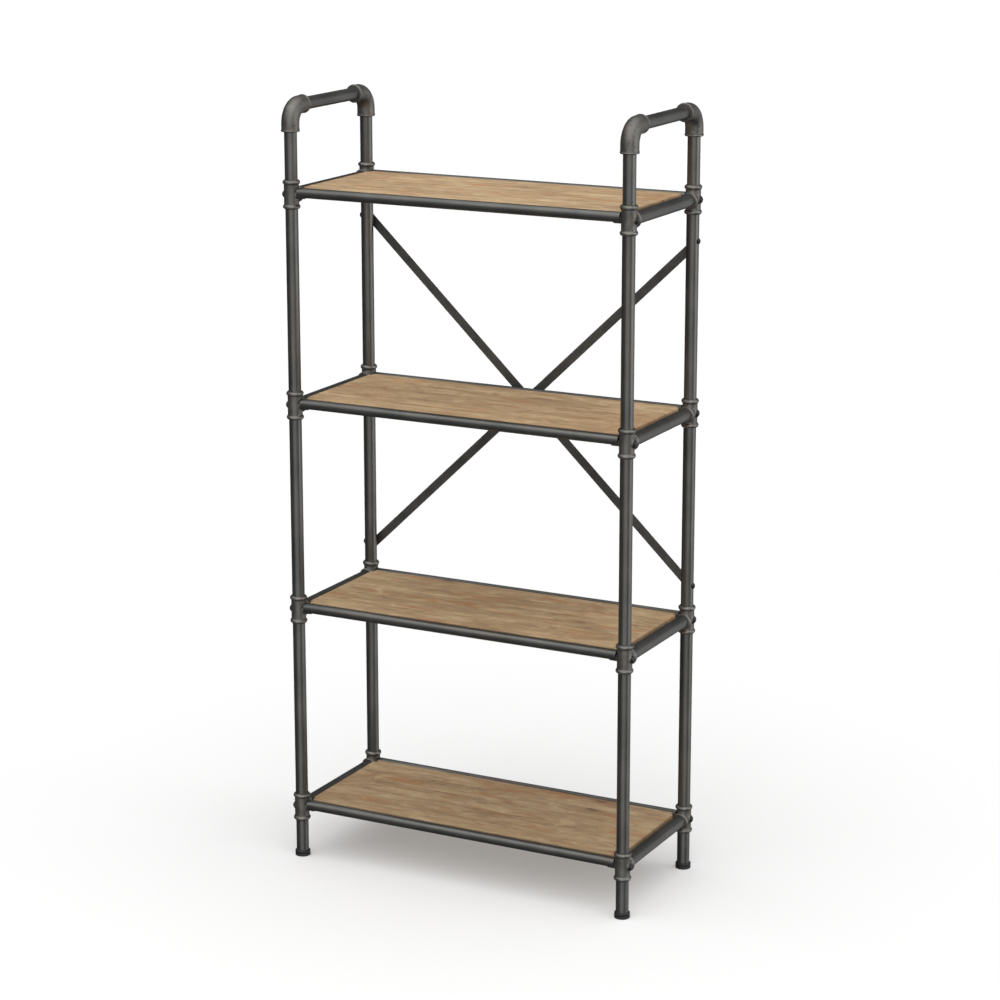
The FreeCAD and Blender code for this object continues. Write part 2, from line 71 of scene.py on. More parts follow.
def shape_at(node, centre):
    """A node's lowest and highest corners, seen from a place on it."""
    return [Vector(spot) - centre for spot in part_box(node)]


def level(name):
    return middle("tee_%s_front_left" % name).z


HANDLE_Z = middle("handle_bar_left").z
PIPE_R = extent("upright_front_left").x / 2
SLIP_GAP = 0.1 * MM
TEE_WALL = 2.2 * MM
SOCKET_R = PIPE_R + SLIP_GAP
TEE_R = SOCKET_R + TEE_WALL


# ---------------------------------------------------------------- node trees written as Python
class Value:
    """The output of a node. Arithmetic on it adds Math nodes to its tree."""

    def __init__(self, graph, socket):
        self.graph = graph
        self.socket = socket

    def maths(self, operation, *values):
        return self.graph.node("ShaderNodeMath", {"operation": operation}, values)

    def __add__(self, other):
        return self.maths("ADD", self, other)

    def __radd__(self, other):
        return self.maths("ADD", other, self)

    def __sub__(self, other):
        return self.maths("SUBTRACT", self, other)

    def __rsub__(self, other):
        return self.maths("SUBTRACT", other, self)

    def __mul__(self, other):
        return self.maths("MULTIPLY", self, other)

    def __rmul__(self, other):
        return self.maths("MULTIPLY", other, self)

    def __truediv__(self, other):
        return self.maths("DIVIDE", self, other)

    def __rtruediv__(self, other):
        return self.maths("DIVIDE", other, self)

    def __neg__(self):
        return self.maths("MULTIPLY", self, -1.0)

    def __abs__(self):
        return self.maths("ABSOLUTE", self)

    def whole(self):
        return self.maths("FLOOR", self)

    def between(self, low, high):
        """0 below low, 1 above high, eased from one to the other."""
        return self.graph.node("ShaderNodeMapRange", {"interpolation_type": "SMOOTHSTEP"},
                               {"Value": self, "From Min": low, "From Max": high})


class Graph:
    """A node tree, with one method that adds any node to it."""

    def __init__(self, tree):
        self.tree = tree

    def node(self, kind, settings=None, sockets=(), output=0):
        """A new node of a kind; sockets are by name or number, and the output is the one wanted."""
        node = self.tree.nodes.new(kind)
        for name, setting in (settings or {}).items():
            setattr(node, name, setting)
        pairs = sockets.items() if isinstance(sockets, dict) else enumerate(sockets)
        for key, value in pairs:
            self.feed(node.inputs[key], value)
        return Value(self, node.outputs[output]) if node.outputs else node

    def feed(self, socket, value):
        if isinstance(value, Value):
            self.tree.links.new(value.socket, socket)
        else:
            socket.default_value = value

    def vector(self, operation, *values):
        return self.node("ShaderNodeVectorMath", {"operation": operation}, values)

    def noise(self, where, scale, detail=3.0, roughness=0.5, distortion=0.0, moved=None):
        """Clouds with so many to the metre along X, Y and Z, or the same along all three."""
        if moved:
            where = self.vector("ADD", where, moved)
        if not isinstance(scale, tuple):
            scale = (scale, scale, scale)
        return self.node("ShaderNodeTexNoise", {}, {
            "Vector": self.vector("MULTIPLY", where, scale), "Scale": 1.0, "Detail": detail,
            "Roughness": roughness, "Distortion": distortion})

    def blend(self, amount, first, second, mode="MIX"):
        """Colours first and second mixed by an amount."""
        return self.node("ShaderNodeMix", {"data_type": "RGBA", "blend_type": mode},
                         {0: amount, 6: first, 7: second}, 2)


class Finish(Graph):
    """A material: its even values are set at once, its varying ones are fed later."""

    def __init__(self, name, **even):
        self.material = bpy.data.materials.new(name)
        self.material.use_nodes = True
        super().__init__(self.material.node_tree)
        self.shader = self.tree.nodes["Principled BSDF"]
        for key, value in even.items():
            self.shader.inputs[key.replace("_", " ")].default_value = value

    def place(self):
        return self.node("ShaderNodeTexCoord", {}, (), "Object")

    def mark(self, name):
        """A number that a piece's mesh carries at each point."""
        return self.node("ShaderNodeAttribute", {"attribute_name": name}, (), "Fac")

    def vary(self, **varying):
        for key, value in varying.items():
            self.feed(self.shader.inputs[key.replace("_", " ")], value)

    def relief(self, height, depth, strength=1.0):
        bump = self.node("ShaderNodeBump", {}, {
            "Height": height, "Distance": depth, "Strength": strength})
        self.feed(self.shader.inputs["Normal"], bump)


def tone(red, green, blue):
    return (red, green, blue, 1.0)


# ---------------------------------------------------------------- finishes
def pipe_lacquer(name, along):
    """Dark satin lacquer on drawn tube: fine lines along it, clouds of warm and cool grey."""
    pipe = Finish(name, Metallic=0.86)
    place = pipe.place()
    clouds = pipe.noise(place, 14, 4.0, 0.6)
    drift = pipe.noise(place, 6, 2.0, moved=(3.1, 1.7, 5.3))
    lines = pipe.noise(place, tuple(7.0 if axis == along else 420.0 for axis in range(3)), 3.0, 0.6)
    scuffs = pipe.noise(place, 90, 5.0, 0.7).between(0.60, 0.78)
    grey = pipe.blend(clouds.between(0.32, 0.68),
                      tone(0.104, 0.106, 0.100), tone(0.140, 0.138, 0.130))
    warm = pipe.blend(drift.between(0.50, 0.72) * 0.5, grey, tone(0.150, 0.128, 0.112))
    drawn = pipe.blend((lines - 0.5) * 0.9 + 0.25, warm, tone(0.062, 0.064, 0.063))
    pipe.vary(Base_Color=pipe.blend(scuffs * 0.35, drawn, tone(0.24, 0.235, 0.22)),
              Roughness=0.24 + clouds * 0.14 + lines * 0.08)
    pipe.relief(lines * 0.6 + clouds * 0.4, 0.00012, 0.6)
    return pipe.material


def cast_finish():
    """Cast iron under thin lacquer: brown and green-grey clouds, pits, grain, and pale bead rims
    that are part wear, part painted highlight.
    """
    cast = Finish("cast_iron_lacquer", Metallic=0.80)
    place = cast.place()
    clouds = cast.noise(place, 38, 4.0, 0.62)
    patches = cast.noise(place, 70, 4.0, 0.6, 0.6, moved=(2.3, 4.1, 0.7))
    grain = cast.noise(place, 900, 3.0, 0.6)
    lumps = cast.noise(place, 220, 3.0, 0.55)
    # Pale where a point sits out on a bead crest: part wear, part painted highlight.
    wear_and_highlight = (cast.mark("wear_and_highlight") * 0.8 + (lumps - 0.5) * 0.9).between(0.30, 0.85)
    base = cast.blend(clouds.between(0.30, 0.70),
                      tone(0.096, 0.093, 0.086), tone(0.142, 0.136, 0.126))
    brown = cast.blend(patches.between(0.50, 0.70) * 0.6, base, tone(0.140, 0.106, 0.090))
    green = cast.blend((1 - patches.between(0.32, 0.46)) * 0.5, brown, tone(0.112, 0.122, 0.104))
    pits = cast.noise(place, 150, 4.0, 0.65, moved=(0.9, 6.2, 3.3))
    pitted = cast.blend((1 - pits.between(0.34, 0.48)) * 0.6, green, tone(0.058, 0.056, 0.052))
    cast.vary(Base_Color=cast.blend(wear_and_highlight * 0.34, pitted, tone(0.25, 0.24, 0.22)),
              Roughness=0.40 - wear_and_highlight * 0.08 + grain * 0.08)
    cast.relief(grain * 0.35 + lumps * 0.65, 0.00035, 0.55)
    return cast.material


def brace_lacquer():
    """Flat bar under dark lacquer: soft clouds, and specks where it is worn pale."""
    bar = Finish("brace_bar_lacquer", Metallic=0.7)
    place = bar.place()
    clouds = bar.noise(place, 22, 4.0, 0.6)
    specks = bar.noise(place, 260, 4.0, 0.65)
    grey = bar.blend(clouds.between(0.3, 0.7), tone(0.070, 0.072, 0.070), tone(0.104, 0.104, 0.099))
    worn = bar.blend(specks.between(0.56, 0.76) * 0.55, grey, tone(0.190, 0.186, 0.176))
    bar.vary(Base_Color=worn, Roughness=0.42 + specks * 0.16)
    bar.relief(specks, 0.00012, 0.5)
    return bar.material


def shelf_wood():
    """Weathered planks: long fibres, brown dashes and streaks, rusty patches, knots, dark seams."""
    wood = Finish("weathered_shelf_wood", Specular_IOR_Level=0.35)
    place = wood.place()
    plank = wood.mark("plank")
    across = wood.mark("across")
    shift = wood.node("ShaderNodeCombineXYZ", {}, [plank * 17.0, plank * 9.0, plank * 5.0])
    spot = wood.vector("ADD", place, shift)
    sway = wood.noise(spot, (9, 12, 12), 2.0)
    bend = wood.node("ShaderNodeCombineXYZ", {}, [0.0, (sway - 0.5) * 0.022, 0.0])
    bent = wood.vector("ADD", spot, bend)
    fibres = wood.noise(bent, (40, 620, 620), 3.0, 0.65)
    dashes = wood.noise(bent, (25, 125, 125), 4.0, 0.70)
    streaks = wood.noise(bent, (15, 95, 95), 4.0, 0.65, 0.3)
    bands = wood.noise(bent, (5, 30, 30), 4.0, 0.65, moved=(4.2, 1.3, 2.9))
    patches = wood.noise(spot, (12, 26, 26), 5.0, 0.68, 0.8)
    rust = wood.noise(bent, (8, 30, 30), 4.0, 0.62, moved=(7.7, 3.1, 0.4))
    # Knots: a dark eye with rings drawn out along the grain.
    eyes = wood.node("ShaderNodeTexVoronoi", {"feature": "F1"},
                     {"Vector": wood.vector("MULTIPLY", spot, (4.2, 11, 11)), "Scale": 1.0,
                      "Randomness": 1.0}) + (streaks - 0.5) * 0.10
    knot = 1 - eyes.between(0.02, 0.10)
    rings = 1 - eyes.between(0.07, 0.26)

    tan = wood.blend(bands.between(0.34, 0.66),
                     tone(0.535, 0.390, 0.226), tone(0.362, 0.246, 0.134))
    streaked = wood.blend((1 - streaks.between(0.36, 0.54)) * 0.50, tan, tone(0.262, 0.158, 0.080))
    dashed = wood.blend((1 - dashes.between(0.31, 0.43)) * 0.70, streaked,
                        tone(0.165, 0.098, 0.050))
    fibred = wood.blend((fibres - 0.5) * 1.3 + 0.16, dashed, tone(0.300, 0.205, 0.120))
    rusty = wood.blend(rust.between(0.52, 0.68) * 0.80, fibred, tone(0.365, 0.180, 0.078))
    dull = wood.blend(patches.between(0.53, 0.68) * 0.55, rusty, tone(0.215, 0.130, 0.068))
    pale = wood.blend((1 - patches.between(0.32, 0.46)) * 0.50, dull, tone(0.600, 0.465, 0.290))
    ringed = wood.blend(rings * 0.38, pale, tone(0.225, 0.130, 0.070))
    knotted = wood.blend(knot * 0.70, ringed, tone(0.090, 0.048, 0.026))
    seam = across.between(0.950, 0.995)
    jointed = wood.blend(seam * 0.42, knotted, tone(0.110, 0.068, 0.042))
    # Each shelf's painted shade and light: its own factor multiplies the wood colour.
    stain = wood.node("ShaderNodeCombineColor", {}, [wood.mark("stain")] * 3)
    wood.vary(Base_Color=wood.blend(1.0, jointed, stain, "MULTIPLY"),
              Roughness=0.66 + fibres * 0.12 + knot * 0.05)
    wood.relief(fibres * 0.4 + dashes * 0.4 + streaks * 0.3 - knot * 0.2, 0.0006, 0.55)
    return wood.material


def bolt_black():
    """Blackened bolts, a little scuffed."""
    bolt = Finish("black_bolt", Metallic=0.4)
    place = bolt.place()
    scuff = bolt.noise(place, 420, 4.0, 0.65)
    bolt.vary(Base_Color=bolt.blend(scuff.between(0.60, 0.82) * 0.35, tone(0.009, 0.009, 0.010),
                                    tone(0.06, 0.058, 0.056)),
              Roughness=0.26 + scuff * 0.20)
    bolt.relief(scuff, 0.00008, 0.4)
    return bolt.material


def foot_plastic():
    """Black moulded plastic with fine grain and some dust."""
    foot = Finish("black_foot_plastic", Specular_IOR_Level=0.4)
    place = foot.place()
    grain = foot.noise(place, 1500, 3.0, 0.6)
    dust = foot.noise(place, 160, 4.0, 0.6)
    foot.vary(Base_Color=foot.blend(dust.between(0.5, 0.8) * 0.4, tone(0.010, 0.010, 0.011),
                                    tone(0.045, 0.043, 0.040)),
              Roughness=0.50 + dust * 0.2)
    foot.relief(grain, 0.00010, 0.5)
    return foot.material


def zinc_plate():
    """Zinc plate with a faint spangle."""
    zinc = Finish("zinc_plate", Metallic=1.0)
    place = zinc.place()
    spangle = zinc.node("ShaderNodeTexVoronoi", {"feature": "F1"},
                        {"Vector": place, "Scale": 420.0})
    haze = zinc.noise(place, 300, 3.0)
    zinc.vary(Base_Color=zinc.blend(spangle.between(0.2, 0.9), tone(0.50, 0.51, 0.52),
                                    tone(0.62, 0.62, 0.60)),
              Roughness=0.28 + haze * 0.24)
    return zinc.material


PIPE_X = pipe_lacquer("pipe_lacquer_across", 0)
PIPE_Y = pipe_lacquer("pipe_lacquer_deep", 1)
PIPE_Z = pipe_lacquer("pipe_lacquer_upright", 2)
CAST = cast_finish()
BRACE = brace_lacquer()
WOOD = shelf_wood()
BOLT = bolt_black()
FOOT = foot_plastic()
ZINC = zinc_plate()


def dress(node, material):
    """Give a CAD node its finish."""
    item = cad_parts[node]
    if not item.material_slots:
        item.data.materials.append(material)
    for slot in item.material_slots:
        slot.material = material


# The first of these beginnings that a node's name has gives its finish.
FINISHES = [("upright", PIPE_Z), ("side_rail", PIPE_Y), ("handle_bar", PIPE_Y), ("rail", PIPE_X),
            ("brace_bolts", BOLT), ("shelf_bolts", BOLT), ("brace", BRACE), ("foot_inserts", ZINC),
            ("stud", ZINC), ("board_screws", ZINC), ("foot", FOOT), ("board", WOOD), ("", CAST)]
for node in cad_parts:
    dress(node, next(material for start, material in FINISHES if node.startswith(start)))


# ---------------------------------------------------------------- meshes from rings
def skin(name, rings, closed=False):
    """A mesh through rings of points. A ring of one point is a pole; closed joins the ends."""
    mesh = bmesh.new()
    rows = [[mesh.verts.new(point) for point in ring] for ring in rings]
    pairs = list(zip(rows, rows[1:])) + ([(rows[-1], rows[0])] if closed else [])
    for low, high in pairs:
        count = max(len(low), len(high))
        for number in range(count):
            after = (number + 1) % count
            if len(low) == 1:
                mesh.faces.new((low[0], high[after], high[number]))
            elif len(high) == 1:
                mesh.faces.new((low[number], low[after], high[0]))
            else:
                mesh.faces.new((low[number], low[after], high[after], high[number]))
    bmesh.ops.recalc_face_normals(mesh, faces=mesh.faces)
    data = bpy.data.meshes.new(name)
    mesh.to_mesh(data)
    mesh.free()
    data.shade_smooth()
    return data


def ring(centre, first, second, radius, sides):
    """Points round a centre in the plane of two unit directions; no radius gives one point."""
    if radius == 0:
        return [centre]
    turns = [2 * math.pi * number / sides for number in range(sides)]
    return [centre + radius * (math.cos(turn) * first + math.sin(turn) * second)
            for turn in turns]


X, Y, Z = Vector((1, 0, 0)), Vector((0, 1, 0)), Vector((0, 0, 1))


def turned(name, profile, sides=64, along=Z, closed=False):
    """A turned piece: profile gives (radius, height) pairs along an axis."""
    first = Y if along == X else X
    second = along.cross(first)
    return skin(name, [ring(along * height, first, second, radius, sides)
                       for radius, height in profile], closed)


def rod(name, radius, start, stop, sides=64, along=Z):
    """A solid round piece along an axis."""
    return turned(name, [(0, start), (radius, start), (radius, stop), (0, stop)], sides, along)


def arc(centre_r, centre_h, radius, start, stop, steps):
    """Points of a profile round a centre, by angles in degrees from the outward direction."""
    points = []
    for number in range(steps + 1):
        angle = math.radians(start + (stop - start) * number / steps)
        points.append((centre_r + radius * math.cos(angle),
                       centre_h + radius * math.sin(angle)))
    return points


def stand(name, data):
    """An object with this mesh or camera, at the origin."""
    item = bpy.data.objects.new(name, data)
    bpy.context.scene.collection.objects.link(item)
    return item


def made_plain(item):
    """The item's mesh with its modifiers worked in and then taken off."""
    graph = bpy.context.evaluated_depsgraph_get()
    data = bpy.data.meshes.new_from_object(
        item.evaluated_get(graph), preserve_all_data_layers=True, depsgraph=graph)
    item.modifiers.clear()
    item.data = data
    return item


def in_one(name, meshes):
    """Several meshes kept as one, each still closed on its own."""
    whole = bmesh.new()
    for data in meshes:
        whole.from_mesh(data)
    data = bpy.data.meshes.new(name)
    whole.to_mesh(data)
    whole.free()
    return data


def grown_together(name, meshes, grain, passes, kept):
    """Closed shapes grown into one, their joins rounded as in a casting."""
    item = stand(name, in_one(name, meshes))
    grow = item.modifiers.new("Grow together", "REMESH")
    grow.mode = "VOXEL"
    grow.voxel_size = grain
    ease = item.modifiers.new("Ease the joins", "SMOOTH")
    ease.factor = 0.5
    ease.iterations = passes
    thin = item.modifiers.new("Fewer faces", "DECIMATE")
    thin.ratio = kept
    return made_plain(item)


def bored(item, meshes):
    """Drill an item with closed shapes."""
    for data in meshes:
        drill = stand("drill", data)
        cut = item.modifiers.new("Bore", "BOOLEAN")
        cut.operation = "DIFFERENCE"
        cut.solver = "EXACT"
        cut.object = drill
        made_plain(item)
        bpy.data.objects.remove(drill)
    return item


def marked(data, name, worth):
    """Write a number at every point of a mesh, worked out from its place."""
    marks = data.attributes.new(name, "FLOAT", "POINT")
    for vertex, mark in zip(data.vertices, marks.data):
        mark.value = worth(vertex.co)
    return data


def geometry_tree(name, inputs, output):
    """An empty Geometry Nodes tree: its graph, its named inputs and the socket of its result."""
    tree = bpy.data.node_groups.new(name, "GeometryNodeTree")
    for key, kind in inputs:
        tree.interface.new_socket(key, in_out="INPUT", socket_type="NodeSocket" + kind)
    tree.interface.new_socket(output, in_out="OUTPUT", socket_type="NodeSocketGeometry")
    graph = Graph(tree)
    entry = tree.nodes.new("NodeGroupInput")
    result = tree.nodes.new("NodeGroupOutput").inputs[0]
    return graph, {key: Value(graph, entry.outputs[key]) for key, kind in inputs}, result


def set_out_tree():
    """One piece at every point of a base mesh, turned on the spot by the point's own turn."""
    graph, given, result = geometry_tree("set_out", [
        ("Points", "Geometry"), ("Piece", "Object"), ("Material", "Material")], "Set")
    piece = graph.node("GeometryNodeObjectInfo", {"transform_space": "ORIGINAL"},
                       {"Object": given["Piece"]}, "Geometry")
    turn = graph.node("GeometryNodeInputNamedAttribute", {"data_type": "FLOAT"}, {"Name": "turn"})
    placed = graph.node("GeometryNodeInstanceOnPoints", {}, {
        "Points": given["Points"], "Instance": piece,
        "Rotation": graph.node("ShaderNodeCombineXYZ", {}, [0.0, 0.0, turn])})
    whole = graph.node("GeometryNodeRealizeInstances", {}, [placed])
    coloured = graph.node("GeometryNodeSetMaterial", {},
                          {"Geometry": whole, "Material": given["Material"]})
    graph.feed(result, coloured)
    return graph.tree


def grown(name, tree, base, **sizes):
    """An object made by a Geometry Nodes tree, turned into a plain mesh."""
    item = stand(name, base)
    modifier = item.modifiers.new("Make", "NODES")
    modifier.node_group = tree
    for socket in tree.interface.items_tree:
        key = socket.name.replace(" ", "_")
        if socket.in_out == "INPUT" and key in sizes:
            modifier[socket.identifier] = sizes[key]
    return made_plain(item)


SET_OUT = set_out_tree()


def set_out(name, piece, material, spots):
    """Copies of a piece at spots, which are pairs of a place and a turn in degrees."""
    base = bpy.data.meshes.new(name)
    base.from_pydata([place for place, turn in spots], [], [])
    turns = base.attributes.new("turn", "FLOAT", "POINT")
    for mark, (place, turn) in zip(turns.data, spots):
        mark.value = math.radians(turn)
    whole = grown(name, SET_OUT, base, Piece=piece, Material=material)
    bpy.data.objects.remove(piece)
    whole.data.shade_smooth()
    whole.data.set_sharp_from_angle(angle=math.radians(40))
    return whole


# ---------------------------------------------------------------- cast tees
BEAD_ROLL = 4.5 * MM      # radius of a rolled bead
BEAD_SHY = 0.05 * MM      # how far a bead stays inside the outline
BRANCH_SAG = 1 * MM       # the branch bead is this much lower and smaller than the sleeve's
PAD_R = 8 * MM            # flat round pad under a bolt head
PAD_RISE = 1 * MM
BRANCH_SOCKET = 7 * MM
BOLT_HOLE_R = 3.3 * MM
CAST_GRAIN = 0.55 * MM    # finest detail kept when the shapes grow together
TURNS = [(spot, 0 if spot[0] == "front" else 180) for spot in CORNERS]


def tee_piece():
    """Sleeve with a rolled bead at each end, beaded branch toward +Y, round pads for the bolt."""
    low, high = shape_at("tee_top_front_left", corner("front", "left", level("top")))
    half, branch, bead, branch_bead = high.z, high.y, -low.y, high.x - BRANCH_SAG

    def ring_bead(reach, at, along, sag=0.0):
        centre = reach - BEAD_ROLL - BEAD_SHY
        data = turned("bead", arc(centre, at, BEAD_ROLL, 0, 350, 35), 72, along, closed=True)
        data.transform(Matrix.Translation((0, 0, -sag)))
        return data

    pad = TEE_R + PAD_RISE
    body = [
        rod("sleeve", TEE_R, -half, half, 72),
        rod("branch", TEE_R, 0, branch, 72, Y),
        rod("pads", PAD_R, -pad, pad, 48, X),
        ring_bead(bead, half - BEAD_ROLL, Z),
        ring_bead(bead, BEAD_ROLL - half, Z),
        ring_bead(branch_bead, branch - BEAD_ROLL, Y, BRANCH_SAG),
    ]
    tee = bored(grown_together("tee", body, CAST_GRAIN, 12, 0.13), [
        rod("sleeve bore", SOCKET_R, -2 * half, 2 * half, 96),
        rod("socket", SOCKET_R, branch - BRANCH_SOCKET, 2 * branch, 96, Y),
        rod("bolt hole", BOLT_HOLE_R, -2 * half, 2 * half, 32, X)])

    # How far out on a bead crest a point is, from 0 to 1: part wear, part painted highlight.
    def wear_and_highlight(place):
        sleeve = (Vector((place.x, place.y)).length - TEE_R) / (bead - TEE_R)
        mouth = (Vector((place.x, place.z + BRANCH_SAG)).length - TEE_R) / (branch_bead - TEE_R)
        at_end = abs(place.z) > half - 2.2 * BEAD_ROLL
        at_mouth = place.y > branch - 2.2 * BEAD_ROLL
        return max(0.0, min(1.0, max(sleeve if at_end else 0.0, mouth if at_mouth else 0.0)))

    marked(tee.data, "wear_and_highlight", wear_and_highlight)
    return tee


tees = set_out("cast_tees", tee_piece(), CAST,
               [(corner(*spot, level(name)), turn) for name in LEVELS for spot, turn in TURNS])
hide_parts(*["tee_%s_%s_%s" % (name, end, side) for name in LEVELS for end, side in CORNERS])
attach(tees, "frame")


# ---------------------------------------------------------------- cast elbows
ELBOW_ROLL = 2.5 * MM     # radius of the bead rolled round each mouth
ELBOW_SLIM = 0.9 * MM     # how far the body stays inside the outline
ELBOW_SOCKET = 16 * MM    # straight length at each mouth
SOCKET_STOP = 2 * MM      # the pipe stops this far short of the bend
PIPE_WALL = 2.7 * MM


def elbow_piece():
    """Quarter bend from a socket below to one toward +Y, each with a rolled bead at its mouth."""
    low, high = shape_at("elbow_front_left", corner("front", "left", HANDLE_Z))
    reach = high.y
    bead = high.x
    body = high.z - ELBOW_SLIM
    bend = reach - ELBOW_SOCKET
    quarter = bend * math.pi / 2

    def station(travel):
        """Centre of the bend and the direction across it, at a distance along its line."""
        if travel < ELBOW_SOCKET:
            return Vector((0, 0, travel - reach)), Y
        turn = (travel - ELBOW_SOCKET) / bend
        if turn < math.pi / 2:
            across = Vector((0, math.cos(turn), -math.sin(turn)))
            return Vector((0, bend, -bend)) - bend * across, across
        return Vector((0, travel - ELBOW_SOCKET - quarter + bend, 0)), -Z

    length = 2 * ELBOW_SOCKET + quarter
    mouth = arc(bead - ELBOW_ROLL, ELBOW_ROLL, ELBOW_ROLL, -90, 62, 14)
    mouth += [(body + 0.25 * MM, 2.0 * ELBOW_ROLL), (body + 0.04 * MM, 2.3 * ELBOW_ROLL),
              (body, 2.8 * ELBOW_ROLL)]
    bends = [(body, ELBOW_SOCKET + quarter * number / 20) for number in range(21)]
    outside = mouth + bends + [(radius, length - travel) for radius, travel in reversed(mouth)]
    bore = PIPE_R - PIPE_WALL
    deep = ELBOW_SOCKET - SOCKET_STOP
    inside = [(SOCKET_R, 0), (SOCKET_R, deep), (bore, deep), (bore, ELBOW_SOCKET)]
    inside += [(bore, travel) for radius, travel in bends[1:-1]]
    inside += [(radius, length - travel) for radius, travel in reversed(inside[:4])]
    rings = []
    for radius, travel in outside + inside[::-1]:
        centre, across = station(travel)
        rings.append(ring(centre, X, across, radius, 64))
    elbow = stand("elbow", skin("elbow", rings, closed=True))

    # How far out on a mouth bead a point is, from 0 to 1: part wear, part painted highlight.
    def wear_and_highlight(place):
        from_mouth = min(place.z + reach, reach - place.y)
        off = Vector((place.x, place.y if place.z < -bend else place.z)).length
        worn = max(0.0, min(1.0, (off - body) / (bead - body)))
        return worn if from_mouth < 2.4 * ELBOW_ROLL else 0.0

    marked(elbow.data, "wear_and_highlight", wear_and_highlight)
    return elbow


elbows = set_out("cast_elbows", elbow_piece(), CAST,
                 [(corner(*spot, HANDLE_Z), turn) for spot, turn in TURNS])
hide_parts(*["elbow_%s_%s" % spot for spot in CORNERS])
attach(elbows, "frame")


# ---------------------------------------------------------------- levelling feet
FOOT_EDGE = 0.8 * MM      # rounding of the lower edge, and depth of the groove
GROOVE_LIP = 0.2 * MM
SHOULDER = 1.5 * MM       # height of the sloped shoulder
WELL_DEEP = 8 * MM        # well that the stud stands in


def foot_profile():
    """Moulded foot: round lower edge, groove round the side, sloped shoulder, well for the stud."""
    size = extent("foot_front_left")
    reach, tall = size.x / 2, size.z
    groove = (tall - SHOULDER) / 2
    half_groove = [(reach, 0.9 * MM), (reach - GROOVE_LIP, 0.7 * MM), (reach - FOOT_EDGE, 0.5 * MM)]
    side = arc(reach - FOOT_EDGE, FOOT_EDGE, FOOT_EDGE, -90, 0, 5)
    side += [(radius, groove - away) for radius, away in half_groove]
    side += [(radius, groove + away) for radius, away in reversed(half_groove)]
    side += arc(reach - 0.5 * MM, tall - 1.8 * MM, 0.5 * MM, 0, 40, 3)
    side += arc(reach - 1.9 * MM, tall - 0.5 * MM, 0.5 * MM, 45, 90, 3)
    well = extent("stud_front_left").x / 2
    return [(0, 0)] + side + [(well, tall), (well, tall - WELL_DEEP), (0, tall - WELL_DEEP)]


for end, side in CORNERS:
    name = "foot_pad_%s_%s" % (end, side)
    foot = stand(name, turned(name, foot_profile(), 72))
    foot.data.transform(Matrix.Translation(corner(end, side)))
    foot.data.set_sharp_from_angle(angle=math.radians(50))
    foot.data.materials.append(FOOT)
    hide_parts("foot_%s_%s" % (end, side))
    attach(foot, "levelling_foot_%s_%s" % (end, side))


